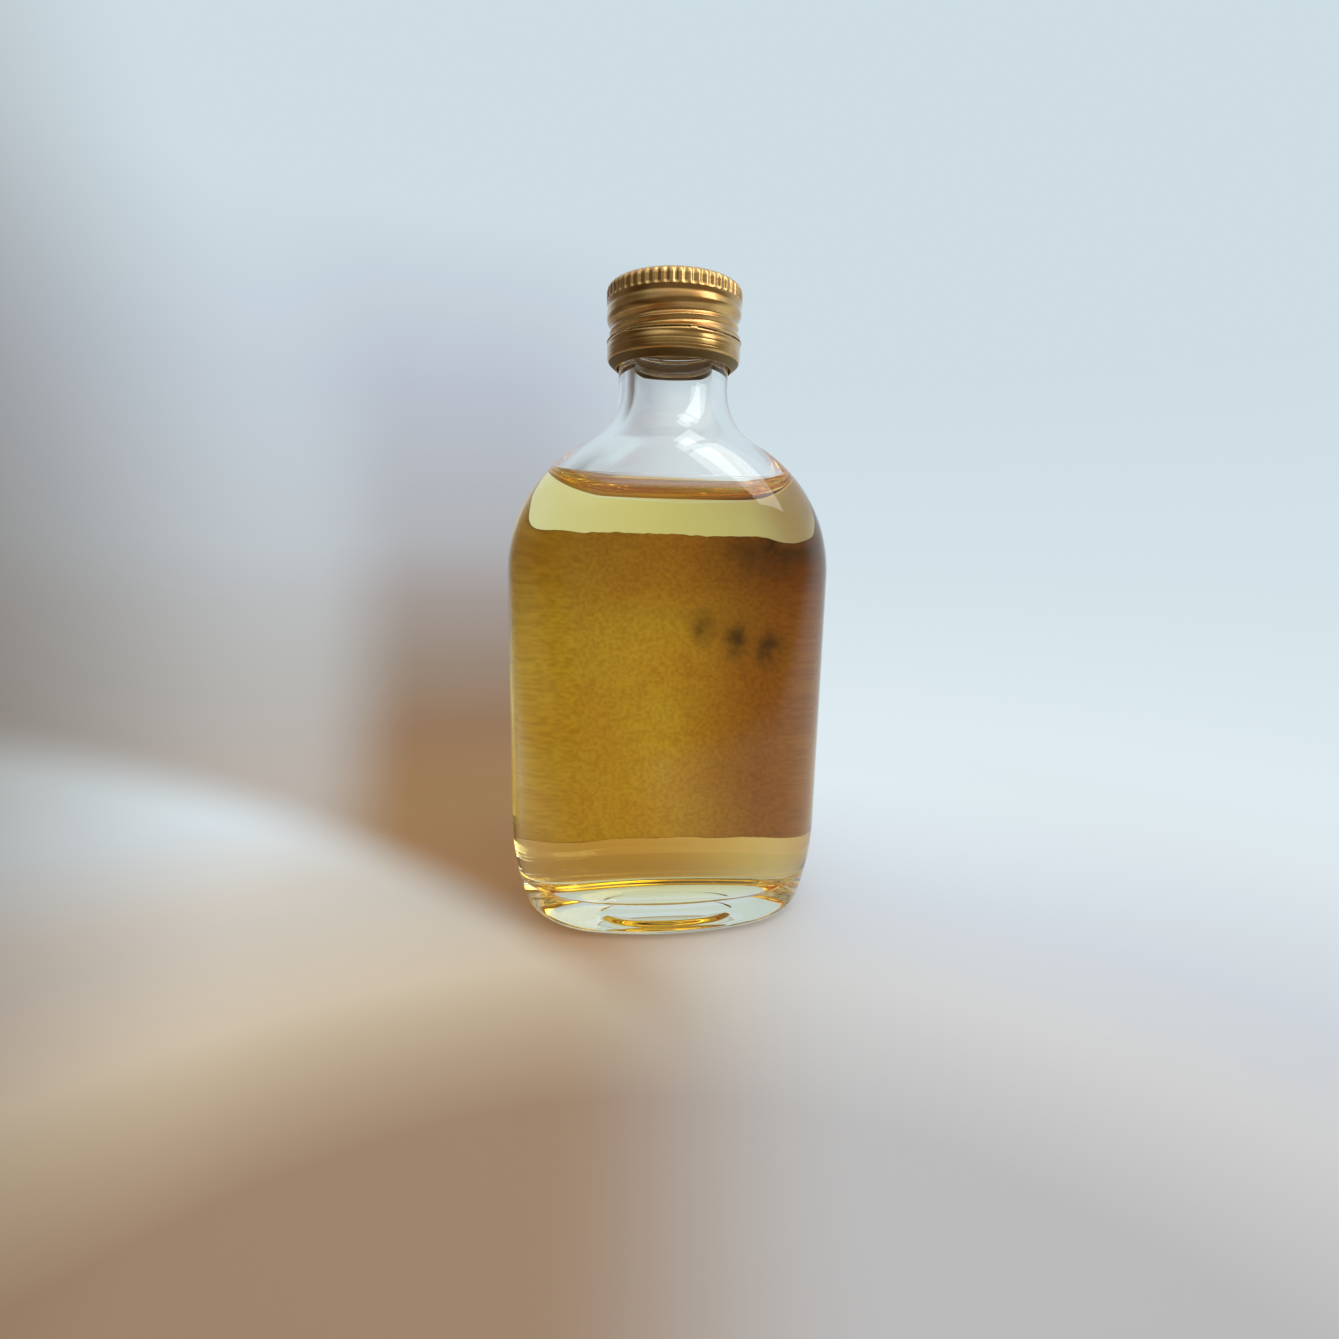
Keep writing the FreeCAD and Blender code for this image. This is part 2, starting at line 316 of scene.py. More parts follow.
def inner_ring(z, gap):
    """A ring of the flask's inner face, drawn in by a gap."""
    half_width, half_depth = half_sizes(z, SIDE_WALL + gap, WALL + gap)
    ring = []
    for turn in OVAL_TURNS:
        x, y = oval_point(half_width, half_depth, turn)
        wave = inner_wave(turn, z)
        ring.append((x - wave * math.cos(turn), y - wave * math.sin(turn), z))
    return ring


def inner_heel_rings(gap):
    """Rings up the rounded corner between the inner floor and the wall."""
    rings = []
    radius = INNER_HEEL_RADIUS
    middle = FLOOR + radius
    for step in spread(0, math.pi / 2, CORNER_ROWS)[:-1]:
        z = middle - radius * math.cos(step) + gap * math.cos(step)
        inset = radius * (1 - math.sin(step)) + gap * math.sin(step)
        rings.append(oval_ring(*half_sizes(z, SIDE_WALL + inset, WALL + inset), z))
    return rings


def shrunk(ring, share, rise):
    """The same ring scaled towards the axis and lifted."""
    return [(x * share, y * share, z + rise) for x, y, z in ring]


def make_object(name, points, faces, slots, materials):
    mesh = bpy.data.meshes.new(name)
    mesh.from_pydata([(x * MM, y * MM, z * MM) for x, y, z in points], [], faces)
    for material in materials:
        mesh.materials.append(material)
    mesh.polygons.foreach_set("material_index", slots)
    mesh.shade_smooth()
    mesh.update()
    made = bpy.data.objects.new(name, mesh)
    bpy.context.collection.objects.link(made)
    return made


def skin(name, rings, poles, slots, materials):
    """Joins rings into one closed skin. Its ends close at two poles or, with none, onto each other."""
    count = len(rings[0])
    points = [place for ring in rings for place in ring]
    faces, chosen = [], []
    last = len(rings) if not poles else len(rings) - 1
    for row in range(last):
        low, high = row * count, (row + 1) % len(rings) * count
        for column in range(count):
            beside = (column + 1) % count
            faces.append((low + column, low + beside, high + beside, high + column))
            chosen.append(slots[row])
    if poles:
        first, final = len(points), len(points) + 1
        points += poles
        top = (len(rings) - 1) * count
        for column in range(count):
            beside = (column + 1) % count
            faces.append((first, beside, column))
            faces.append((top + column, top + beside, final))
            chosen += [slots[0], slots[last - 1]]
    return make_object(name, points, faces, chosen, materials)


def rounded(points, passes):
    """Cuts the corners off a line of points, more with each pass."""
    for _ in range(passes):
        cut = [points[0]]
        for here, there in zip(points, points[1:]):
            cut.append(tuple(a * 0.75 + b * 0.25 for a, b in zip(here, there)))
            cut.append(tuple(a * 0.25 + b * 0.75 for a, b in zip(here, there)))
        points = cut + [points[-1]]
    return points


def curve_at(keys, z):
    """A smooth curve through (height, radius) keys, highest first."""
    for index in range(len(keys) - 1):
        high, low = keys[index], keys[index + 1]
        if low[0] <= z <= high[0]:
            before = keys[max(index - 1, 0)]
            after = keys[min(index + 2, len(keys) - 1)]
            span = low[0] - high[0]
            leave = (low[1] - before[1]) / (low[0] - before[0]) * span
            arrive = (after[1] - high[1]) / (after[0] - high[0]) * span
            t = (z - high[0]) / span
            bend = (2 * t ** 3 - 3 * t ** 2 + 1) * high[1] + (t ** 3 - 2 * t ** 2 + t) * leave
            return bend + (3 * t ** 2 - 2 * t ** 3) * low[1] + (t ** 3 - t ** 2) * arrive
    return keys[0][1] if z > keys[0][0] else keys[-1][1]


# Materials
def new_material(name, color, roughness):
    material = bpy.data.materials.new(name)
    material.use_nodes = True
    shader = material.node_tree.nodes["Principled BSDF"]
    shader.inputs["Base Color"].default_value = (*color, 1)
    shader.inputs["Roughness"].default_value = roughness
    return material, material.node_tree, shader


def clear_material(name, color, index):
    material, tree, shader = new_material(name, color, 0.0)
    shader.inputs["Transmission Weight"].default_value = 1.0
    shader.inputs["IOR"].default_value = index
    return material


def add_node(tree, kind, **values):
    node = tree.nodes.new(kind)
    for key, value in values.items():
        setattr(node, key, value)
    return node


def noise_node(tree, scale, detail, stretch, offset):
    """Noise over the object's own coordinates, stretched along its axes."""
    place = add_node(tree, "ShaderNodeTexCoord")
    mapping = add_node(tree, "ShaderNodeMapping")
    mapping.inputs["Scale"].default_value = stretch
    mapping.inputs["Location"].default_value = offset
    texture = add_node(tree, "ShaderNodeTexNoise")
    texture.inputs["Scale"].default_value = scale
    texture.inputs["Detail"].default_value = detail
    tree.links.new(place.outputs["Object"], mapping.inputs["Vector"])
    tree.links.new(mapping.outputs["Vector"], texture.inputs["Vector"])
    return texture.outputs["Fac"]


def ramp(tree, source, stops):
    """A colour ramp from (position, colour) stops."""
    node = add_node(tree, "ShaderNodeValToRGB")
    elements = node.color_ramp.elements
    while len(elements) < len(stops):
        elements.new(0.5)
    for element, (position, color) in zip(elements, stops):
        element.position = position
        element.color = (*color, 1)
    tree.links.new(source, node.inputs["Fac"])
    return node.outputs["Color"]


def mixed(tree, share, first, second, blend="MIX"):
    """Mixes two colours, each a socket or three numbers."""
    node = add_node(tree, "ShaderNodeMix", data_type="RGBA", blend_type=blend)
    for socket, value in ((node.inputs[0], share), (node.inputs[6], first), (node.inputs[7], second)):
        if isinstance(value, bpy.types.NodeSocket):
            tree.links.new(value, socket)
        elif isinstance(value, tuple):
            socket.default_value = (*value, 1)
        else:
            socket.default_value = value
    return node.outputs[2]


def math_node(tree, operation, first, second):
    node = add_node(tree, "ShaderNodeMath", operation=operation)
    for socket, value in zip(node.inputs, (first, second)):
        if isinstance(value, bpy.types.NodeSocket):
            tree.links.new(value, socket)
        else:
            socket.default_value = value
    return node.outputs[0]


def eased(tree, source, start, end):
    """0 to 1 as a value runs from start to end."""
    node = add_node(tree, "ShaderNodeMapRange", interpolation_type="SMOOTHSTEP")
    node.inputs["From Min"].default_value = start
    node.inputs["From Max"].default_value = end
    tree.links.new(source, node.inputs["Value"])
    return node.outputs["Result"]


def place_along(tree, axis, start, end):
    """0 to 1 as the object's own coordinate runs from start to end, in millimetres."""
    place = add_node(tree, "ShaderNodeTexCoord")
    split = add_node(tree, "ShaderNodeSeparateXYZ")
    tree.links.new(place.outputs["Object"], split.inputs["Vector"])
    return eased(tree, split.outputs[axis], start * MM, end * MM)


def soft_spot(tree, across, height, half_width):
    """1 in the middle of a tall oval stain on the back and 0 at its rim, in millimetres."""
    place = add_node(tree, "ShaderNodeTexCoord")
    away = add_node(tree, "ShaderNodeVectorMath", operation="SUBTRACT")
    away.inputs[1].default_value = (across * MM, 0, height * MM)
    flat = add_node(tree, "ShaderNodeVectorMath", operation="MULTIPLY")
    flat.inputs[1].default_value = (1, 0, STAIN_SQUASH)
    length = add_node(tree, "ShaderNodeVectorMath", operation="LENGTH")
    tree.links.new(place.outputs["Object"], away.inputs[0])
    tree.links.new(away.outputs["Vector"], flat.inputs[0])
    tree.links.new(flat.outputs["Vector"], length.inputs[0])
    return eased(tree, length.outputs["Value"], half_width * MM, 0.0)


BLACK = (0.0, 0.0, 0.0)
WHITE = (1.0, 1.0, 1.0)

# How strongly each surface bends light: glass and oil against air, and glass against oil
GLASS_INDEX = 1.52
OIL_INDEX = 1.47
GLASS_TO_OIL_INDEX = 1.034
NO_BEND = 1.0

glass = clear_material("clear_glass", (0.985, 0.995, 0.98), GLASS_INDEX)
foot_glass = clear_material("thick_foot_glass", (0.86, 0.885, 0.74), GLASS_INDEX)
wet_glass = clear_material("wetted_glass", (0.99, 1.0, 0.985), GLASS_TO_OIL_INDEX)
oil_surface = clear_material("oil_surface", WHITE, OIL_INDEX)
surface_under = clear_material("oil_surface_under", WHITE, NO_BEND)

OIL_TINT = (0.966, 0.808, 0.046, 1)
OIL_STRENGTH = 65.0
oil = clear_material("yellow_oil", WHITE, NO_BEND)
absorb = add_node(oil.node_tree, "ShaderNodeVolumeAbsorption")
absorb.inputs["Color"].default_value = OIL_TINT
absorb.inputs["Density"].default_value = OIL_STRENGTH
oil.node_tree.links.new(absorb.outputs["Volume"], oil.node_tree.nodes["Material Output"].inputs["Volume"])


GOLD = (0.72, 0.5, 0.2)
GOLD_DARK = (0.47, 0.225, 0.042)
GOLD_PALE = (0.7, 0.41, 0.106)
GOLD_WORN = (0.86, 0.86, 0.86)


def gold_material():
    """Gold lacquer on thin metal, with fine streaks round it and worn patches."""
    material, tree, shader = new_material("gold_cap", GOLD, 0.34)
    shader.inputs["Metallic"].default_value = 1.0
    streaks = noise_node(tree, 260, 4, (1, 1, 3.5), (0, 0, 0))
    patches = noise_node(tree, 130, 3, (1, 1, 1), (0.3, 0.1, 0.2))
    tone = ramp(tree, streaks, [(0.3, GOLD_DARK), (0.62, GOLD_PALE)])
    worn = ramp(tree, patches, [(0.45, GOLD_WORN), (0.7, WHITE)])
    tree.links.new(mixed(tree, 1.0, tone, worn, "MULTIPLY"), shader.inputs["Base Color"])
    rough = ramp(tree, streaks, [(0.3, (0.34, 0.34, 0.34)), (0.7, (0.2, 0.2, 0.2))])
    tree.links.new(rough, shader.inputs["Roughness"])
    shader.inputs["Coat Weight"].default_value = 0.9
    shader.inputs["Coat Roughness"].default_value = 0.16
    shader.inputs["Coat IOR"].default_value = 1.6
    return material


def label_material(name, pale, dark, stain, strength, passed):
    """Aged paper: a fibre tone, a darker top, painted shade on the right side, soft stains, and a share of
    light that passes.
    """
    material, tree, shader = new_material(name, pale, 0.85)
    fibre = noise_node(tree, 1900, 5, (1, 1, 1), (0, 0, 0))
    cloud = noise_node(tree, 110, 5, (1, 1, 1), (0.2, 0, 0.1))
    tone = ramp(tree, cloud, [(0.3, dark), (0.68, pale)])
    grain = ramp(tree, fibre, [(0.36, GRAIN_TONE), (0.6, WHITE)])
    paper = mixed(tree, 1.0, tone, grain, "MULTIPLY")
    # Painted shade: the paper darkens and reddens towards the right side
    side_shade = mixed(tree, place_along(tree, "X", *LABEL_SHADE_SIDE), WHITE, LABEL_SHADE_TONE)
    paper = mixed(tree, 1.0, paper, side_shade, "MULTIPLY")
    browned = mixed(tree, place_along(tree, "Z", *BROWNED_TOP), WHITE, BROWNED_TONE)
    paper = mixed(tree, 1.0, paper, browned, "MULTIPLY")
    blot = noise_node(tree, 420, 4, (1, 1, 1), (0.11, 0.4, 0.02))
    across_corner = place_along(tree, "X", *STAINED_CORNER_ACROSS)
    share = math_node(tree, "MULTIPLY", across_corner, place_along(tree, "Z", *STAINED_CORNER_UP))
    for across, height, half_width, depth in STAINS:
        spot = math_node(tree, "MULTIPLY", soft_spot(tree, across, height, half_width), depth)
        share = math_node(tree, "MAXIMUM", share, spot)
    share = math_node(tree, "MULTIPLY", share, ramp(tree, blot, [(0.22, BLACK), (0.58, WHITE)]))
    share = math_node(tree, "MULTIPLY", share, strength)
    color = mixed(tree, share, paper, stain)
    tree.links.new(color, shader.inputs["Base Color"])
    through = add_node(tree, "ShaderNodeBsdfTranslucent")
    tree.links.new(color, through.inputs["Color"])
    sheet = add_node(tree, "ShaderNodeMixShader")
    sheet.inputs[0].default_value = passed
    tree.links.new(shader.outputs["BSDF"], sheet.inputs[1])
    tree.links.new(through.outputs["BSDF"], sheet.inputs[2])
    tree.links.new(sheet.outputs["Shader"], tree.nodes["Material Output"].inputs["Surface"])
    return material


gold = gold_material()
# A darker copy of the gold for the tuck under the band: painted shade where the tuck sits in shadow
shaded_tuck_gold, _, tuck_shader = new_material("shaded_tuck_gold", (0.2, 0.13, 0.05), 0.5)
tuck_shader.inputs["Metallic"].default_value = 1.0
cap_inside = new_material("cap_inside", (0.85, 0.52, 0.2), 0.6)[0]
label_inside = label_material(
    "label_glued_side",
    pale=(1.0, 0.86, 0.3),
    dark=(0.97, 0.77, 0.25),
    stain=(0.16, 0.12, 0.07),
    strength=0.95,
    passed=0.95,
)
label_outside = label_material(
    "label_paper",
    pale=(0.99, 0.87, 0.46),
    dark=(0.95, 0.78, 0.38),
    stain=(0.4, 0.3, 0.18),
    strength=0.6,
    passed=0.88,
)
board = new_material("wad_board", (0.62, 0.5, 0.34), 0.9)[0]
foil, _, foil_shader = new_material("wad_foil", (0.8, 0.8, 0.8), 0.3)
foil_shader.inputs["Metallic"].default_value = 1.0


def thread_ridge(turn, z):
    """The screw ridge on the neck: how far it stands out at this angle and height."""
    start = LAND_BOTTOM + THREAD_START
    height = 0.0
    for lap in range(-1, 4):
        along = turn / (2 * math.pi) + lap
        if 0 <= along <= THREAD_TURNS:
            ends = ease(along / THREAD_END) * ease((THREAD_TURNS - along) / THREAD_END)
            height = max(height, ends * bell(z - start - along * THREAD_PITCH, THREAD_HALF_WIDTH))
    return THREAD_RIDGE * height


def foot_rings():
    """Rings from the middle of the underside, over the standing ring, to the outside of the heel."""
    foot_width, foot_depth = half_sizes(0, 0, 0)
    outer = 1 - (FOOT_EDGE_RADIUS + BEARING_WIDTH) / foot_depth
    rim = PUSH_UP_RIM / foot_depth
    rings = []
    for share in spread(CENTRE_SHARE, outer - rim, 5)[:-1]:
        rings.append(oval_ring(foot_width * share, foot_depth * share, PUSH_UP_DEPTH))
    for step in spread(1, 0, FILLET_ROWS):
        share = outer - rim * step
        rise = PUSH_UP_DEPTH * ease(step)
        rings.append(oval_ring(foot_width * share, foot_depth * share, rise))
    for step in spread(0, math.pi / 2, FILLET_ROWS):
        z = FOOT_EDGE_RADIUS * (1 - math.cos(step))
        inset = FOOT_EDGE_RADIUS * (1 - math.sin(step))
        rings.append(oval_ring(*half_sizes(z, inset, inset), z))
    return rings


def finish_rings():
    """Rings up the outside of the neck, over the lip and down the bore."""
    ring_low = NECK_TOP + RING_FLANK
    outline = [
        (NECK_RADIUS, NECK_START),
        (NECK_RADIUS, NECK_TOP - NECK_SOFTENING),
        (NECK_RADIUS + NECK_FLARE, NECK_TOP),
        (RING_RADIUS, ring_low),
        (RING_RADIUS, ring_low + RING_LAND),
        (LAND_RADIUS, LAND_BOTTOM),
        (LAND_RADIUS, LAND_BOTTOM + LAND_SOFTENING),
    ]
    profile = rounded(outline, CORNER_CUTS)
    thread_heights = spread(LAND_BOTTOM + LAND_MESH_START, LIP_TOP - LIP_RADIUS, THREAD_ROWS)
    profile += [(LAND_RADIUS, z) for z in thread_heights]
    for step in spread(0, math.pi / 2, LIP_ROWS):
        reach = LAND_RADIUS - LIP_RADIUS * (1 - math.cos(step))
        profile.append((reach, LIP_TOP - LIP_RADIUS * (1 - math.sin(step))))
    for step in spread(math.pi / 2, 0, LIP_ROWS):
        reach = BORE_RADIUS + LIP_RADIUS * (1 - math.cos(step))
        profile.append((reach, LIP_TOP - LIP_RADIUS * (1 - math.sin(step))))
    bore_heights = spread(LIP_TOP - LIP_RADIUS, NECK_START, BORE_ROWS)[1:-1]
    profile += [(BORE_RADIUS, z) for z in bore_heights]
    rings = []
    for radius, z in profile:
        ring = []
        for turn in OVAL_TURNS:
            reach = radius
            if radius == LAND_RADIUS:
                reach += thread_ridge(turn % (2 * math.pi), z)
            ring.append((reach * math.cos(turn), reach * math.sin(turn), z))
        rings.append(ring)
    return rings


def make_bottle():
    rings = foot_rings()
    heights = spread(FOOT_EDGE_RADIUS, HEEL_HEIGHT, HEEL_ROWS)[1:]
    heights += spread(HEEL_HEIGHT, SHOULDER_START, WALL_ROWS)[1:]
    heights += spread(SHOULDER_START, NECK_START, SHOULDER_ROWS)[1:-1]
    rings += [oval_ring(*half_sizes(z, 0, 0), z) for z in heights]
    rings += finish_rings()
    inner = spread(NECK_START, CONTACT, HEADSPACE_ROWS)
    inner += spread(CONTACT, SHOULDER_START, WET_SHOULDER_ROWS)[1:]
    inner += spread(SHOULDER_START, FLOOR + INNER_HEEL_RADIUS, WET_WALL_ROWS)[1:]
    clear, wet, foot = 0, 1, 2
    slots = [foot if ring[0][2] < FLOOR else clear for ring in rings]
    for z in inner:
        rings.append(inner_ring(z, 0))
        slots.append(clear if z > CONTACT else wet)
    rings += list(reversed(inner_heel_rings(0)))
    floor_ring = inner_heel_rings(0)[0]
    rings += [shrunk(floor_ring, share, 0) for share in spread(1, FLOOR_CENTRE_SHARE, FLOOR_ROWS)[1:]]
    slots += [wet] * (len(rings) - len(slots))
    poles = [(0, 0, PUSH_UP_DEPTH), (0, 0, FLOOR)]
    return skin("glass_bottle", rings, poles, slots, [glass, wet_glass, foot_glass])


def meniscus_rings(lift):
    """Rings inwards from the contact line, down the curve that oil takes at a wall, to its level top."""
    half_width, half_depth = half_sizes(CONTACT, SIDE_WALL + OIL_GAP, WALL + OIL_GAP)
    rings = []
    inset = 0.0
    slopes = spread(CONTACT_SLOPE, LEVEL_SLOPE, MENISCUS_ROWS)
    for steep, gentle in zip(slopes, slopes[1:]):
        middle = (steep + gentle) / 2
        inset += CAPILLARY * (steep - gentle) / (2 * math.sin(middle / 2)) * math.cos(middle)
        z = OIL_LEVEL + 2 * CAPILLARY * math.sin(gentle / 2) + lift
        rings.append(oval_ring(half_width - inset, half_depth - inset, z))
    last = rings[-1]
    fall = OIL_LEVEL + lift - last[0][2]
    for share in OIL_TOP_SHARES:
        rings.append(shrunk(last, share, fall * (1 - share)))
    return rings


def make_oil():
    floor_ring = inner_heel_rings(OIL_GAP)[0]
    rings = [shrunk(floor_ring, share, 0) for share in spread(FLOOR_CENTRE_SHARE, 1, FLOOR_ROWS)[:-1]]
    rings += inner_heel_rings(OIL_GAP)
    heights = spread(FLOOR + INNER_HEEL_RADIUS, SHOULDER_START, WET_WALL_ROWS)
    heights += spread(SHOULDER_START, CONTACT, WET_SHOULDER_ROWS)[1:]
    rings += [inner_ring(z, OIL_GAP) for z in heights]
    rings += meniscus_rings(-SURFACE_SKIN / 2)
    poles = [(0, 0, FLOOR + OIL_GAP), (0, 0, OIL_LEVEL - SURFACE_SKIN / 2)]
    return skin("oil", rings, poles, [0] * len(rings), [oil])


def make_oil_surface():
    """A thin skin that bends light at the top of the oil."""
    top = meniscus_rings(0)
    under = meniscus_rings(-SURFACE_SKIN)
    edge = [inner_ring(CONTACT - SURFACE_SKIN / 2, OIL_GAP)]
    rings = list(reversed(under)) + edge + [inner_ring(CONTACT, OIL_GAP)] + top
    slots = [1] * (len(under) + 1) + [0] * (len(top) + 1)
    poles = [(0, 0, OIL_LEVEL - SURFACE_SKIN), (0, 0, OIL_LEVEL)]
    return skin("oil_top", rings, poles, slots, [oil_surface, surface_under])


def label_edge(place, seed):
    """A slightly torn, uneven paper edge, in millimetres."""
    coarse = noise.noise(Vector((place * COARSE_EDGE_SCALE, seed, 0.3)))
    fine = noise.noise(Vector((place * FINE_EDGE_SCALE, seed, 4.1)))
    return COARSE_EDGE * coarse + FINE_EDGE * fine


def corner_drop(across):
    """How far the label's rounded top corners fall away at this place across it."""
    reach = LABEL_CORNER_LEFT if across < 0 else LABEL_CORNER_RIGHT
    return LABEL_CORNER_DROP * min(abs(across) / reach, 1.0) ** LABEL_CORNER_POWER


def face_turn(x):
    """The facing angle of the back wall's outside where it lies x across."""
    low, high = 0.0, math.pi
    for _ in range(HALVINGS):
        turn = (low + high) / 2
        if oval_point(HALF_WIDTH, HALF_DEPTH, turn)[0] > x:
            low = turn
        else:
            high = turn
    return low


def make_label():
    columns, rows = LABEL_COLUMNS, LABEL_ROWS
    grid = []
    for inset in (-LABEL_GLUE, -LABEL_PROUD):
        side = []
        for row in spread(0, 1, rows):
            line = []
            for column in spread(0, 1, columns):
                across = LABEL_LEFT + (LABEL_RIGHT - LABEL_LEFT) * column
                low = LABEL_BOTTOM + label_edge(across, BOTTOM_SEED)
                high = LABEL_TOP - corner_drop(across) + label_edge(across, TOP_SEED)
                z = low + (high - low) * row
                left = LABEL_LEFT + LABEL_END_WAVER * label_edge(z, LEFT_SEED)
                right = LABEL_RIGHT + LABEL_END_WAVER * label_edge(z, RIGHT_SEED)
                turn = face_turn(left + (right - left) * column)
                line.append((*oval_point(*half_sizes(z, inset, inset), turn), z))
            side.append(line)
        grid.append(side)
    points = [place for side in grid for line in side for place in line]
    wide = columns + 1
    half = wide * (rows + 1)
    faces, slots = [], []
    for row in range(rows):
        for column in range(columns):
            corner = row * wide + column
            quad = (corner, corner + 1, corner + wide + 1, corner + wide)
            faces.append(quad)
            faces.append(tuple(half + index for index in reversed(quad)))
            slots += [0, 1]
    rim = list(range(wide)) + [wide * row + columns for row in range(1, rows + 1)]
    rim += [rows * wide + column for column in range(columns - 1, -1, -1)]
    rim += [wide * row for row in range(rows - 1, 0, -1)]
    for index, here in enumerate(rim):
        there = rim[(index + 1) % len(rim)]
        faces.append((there, here, half + here, half + there))
        slots.append(1)
    return make_object("paper_label", points, faces, slots, [label_inside, label_outside])


def bridge_share(turn):
    """0 at a bridge between cap and band and 1 halfway to the next."""
    step = 2 * math.pi / BRIDGE_COUNT
    along = (turn - FIRST_BRIDGE) % step / step
    return math.sin(math.pi * along) ** 2


def at_bridge(turn):
    step = 2 * math.pi / BRIDGE_COUNT
    away = (turn - FIRST_BRIDGE + step / 2) % step - step / 2
    return abs(away) * CAP_RADIUS < BRIDGE_WIDTH / 2


# Outline of the cap's skirt: height and radius, highest first
SKIRT_KEYS = [
    (KNURL_BOTTOM, 9.08),
    (84.75, 9.03),
    (84.4, 8.97),
    (83.95, 9.04),
    (83.4, 9.07),
    (82.95, 8.94),
    (82.7, 8.76),
    (82.2, 8.48),
    (81.9, 8.58),
    (81.65, 8.74),
    (81.4, 8.64),
    (81.1, 8.5),
    (80.8, 8.6),
    (80.55, 8.86),
    (80.35, 9.08),
    (SKIRT_BOTTOM, 9.18),
]


def groove_lift(turn, z):
    """The rolled groove climbs round the cap as a screw does, and fades into the belt and the edge."""
    along = (turn + math.pi / 2 + math.pi) % (2 * math.pi) - math.pi
    low = ease((z - SKIRT_BOTTOM - GROOVE_LOW_FADE[0]) / GROOVE_LOW_FADE[1])
    high = ease((KNURL_BOTTOM - GROOVE_HIGH_FADE[0] - z) / GROOVE_HIGH_FADE[1])
    return low * high * GROOVE_CLIMB * math.sin(along)


def dent(turn, z):
    """Small dents in the thin skirt, in millimetres."""
    around, along = DENT_SCALE
    return DENT * noise.noise(Vector((math.cos(turn) * around, math.sin(turn) * around, z * along)))


def make_cap():
    inner_radius = CAP_RADIUS - KNURL_WALL
    profile = [(radius, WAD_TOP, "in") for radius in spread(CAP_CENTRE, inner_radius, FILLET_ROWS)]
    inner_heights = spread(WAD_TOP - CAP_INNER_STEP, KNURL_BOTTOM, LIP_ROWS)
    profile += [(inner_radius, z, "in") for z in inner_heights]
    heights = spread(KNURL_BOTTOM - CAP_MESH_STEP, SKIRT_BOTTOM, SKIRT_ROWS)
    profile += [(0, z, "skirt_in") for z in heights]
    profile += [(0, z, "skirt") for z in reversed(heights)]
    knurl_heights = spread(KNURL_BOTTOM, CAP_TOP - CAP_CORNER, KNURL_ROWS)
    profile += [(CAP_RADIUS, z, "knurl") for z in knurl_heights]
    for step in spread(0, math.pi / 2, CORNER_ROWS)[1:]:
        radius = CAP_RADIUS - CAP_CORNER * (1 - math.cos(step))
        profile.append((radius, CAP_TOP - CAP_CORNER * (1 - math.sin(step)), "knurl"))
    profile += [(radius, CAP_TOP, "top") for radius in CAP_TOP_RADII]
    rings = []
    for radius, z, kind in profile:
        ring = []
        for turn in ROUND_TURNS:
            reach, height = radius, z
            if kind in ("skirt", "skirt_in"):
                reach = curve_at(SKIRT_KEYS, z - groove_lift(turn, z))
                edge = ease((SKIRT_BOTTOM + SKIRT_EDGE - z) / SKIRT_EDGE)
                reach -= SKIRT_FLAT * edge * bridge_share(turn)
                height -= SKIRT_DIP * edge * bridge_share(turn)
                if kind == "skirt_in":
                    reach -= SHELL
                reach += dent(turn, z)
            if kind == "knurl":
                fade = ease((z - KNURL_BOTTOM) / KNURL_FADE_LOW)
                fade *= ease((CAP_TOP - KNURL_TOP_GAP - z) / KNURL_FADE_HIGH)
                flute = 0.5 - 0.5 * math.cos(turn * KNURL_COUNT)
                reach -= KNURL_DEPTH * fade * flute ** KNURL_SHARPNESS
            ring.append((reach * math.cos(turn), reach * math.sin(turn), height))
        rings.append(ring)
    poles = [(0, 0, WAD_TOP), (0, 0, CAP_TOP)]
    slots = [1 if kind in ("in", "skirt_in") else 0 for _, _, kind in profile]
    return skin("cap", rings, poles, slots, [gold, cap_inside])


def make_band():
    tuck_out = TUCK_RADIUS + SHELL
    corner = [
        (tuck_out, BAND_TUCK),
        (CAP_RADIUS - BAND_CORNER_INSET, BAND_LOW - BAND_CORNER_DROP),
        (CAP_RADIUS - BAND_INSET, BAND_LOW + BAND_CORNER_RISE),
    ]
    outside = rounded(corner, CORNER_CUTS)
    straight = spread(BAND_LOW + BAND_MARGIN, BAND_TOP - BAND_MARGIN, BAND_ROWS)
    outside += [(CAP_RADIUS - BAND_INSET, z) for z in straight]
    outside += [
        (CAP_RADIUS - BAND_FLARE, BAND_TOP - BAND_FLARE_HEIGHT),
        (CAP_RADIUS, BAND_TOP - BAND_FLARE_HEIGHT / 2),
        (CAP_RADIUS + BAND_FLARE, BAND_TOP),
    ]
    profile = [(radius - SHELL, z) for radius, z in reversed(outside)] + outside
    rings = []
    for radius, z in profile:
        ring = []
        for turn in ROUND_TURNS:
            edge = ease((z - BAND_TOP + BAND_EDGE) / BAND_EDGE)
            reach = radius - SKIRT_FLAT * edge * bridge_share(turn)
            for line, width, share in BAND_LINES:
                reach -= BAND_LINE_DEPTH * share * bell(z - line, width)
            height = z
            if z == BAND_TOP and at_bridge(turn):
                height += BRIDGE_HEIGHT
            ring.append((reach * math.cos(turn), reach * math.sin(turn), height))
        rings.append(ring)
    # The tuck under the band takes the darker gold, a painted shade
    slots = [1] * len(outside) + [2 if z < BAND_LOW - BAND_TUCK_LINE else 0 for _, z in outside]
    return skin("neck_band", rings, [], slots, [gold, cap_inside, shaded_tuck_gold])


bottle_piece = make_bottle()
oil_piece = make_oil()
oil_top_piece = make_oil_surface()
label_piece = make_label()
cap_piece = make_cap()
band_piece = make_band()

for piece in (bottle_piece, oil_piece, oil_top_piece, label_piece):
    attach(piece, "bottle")
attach(cap_piece, "cap")
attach(band_piece, "band")
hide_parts("bottle")
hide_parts("oil_fill")
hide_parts("label")
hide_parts("cap_shell")
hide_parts("pilfer_band")
for node, material in (("cap_wad", board), ("wad_facing", foil)):
    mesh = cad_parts[node].data
    mesh.materials.clear()
    mesh.materials.append(material)
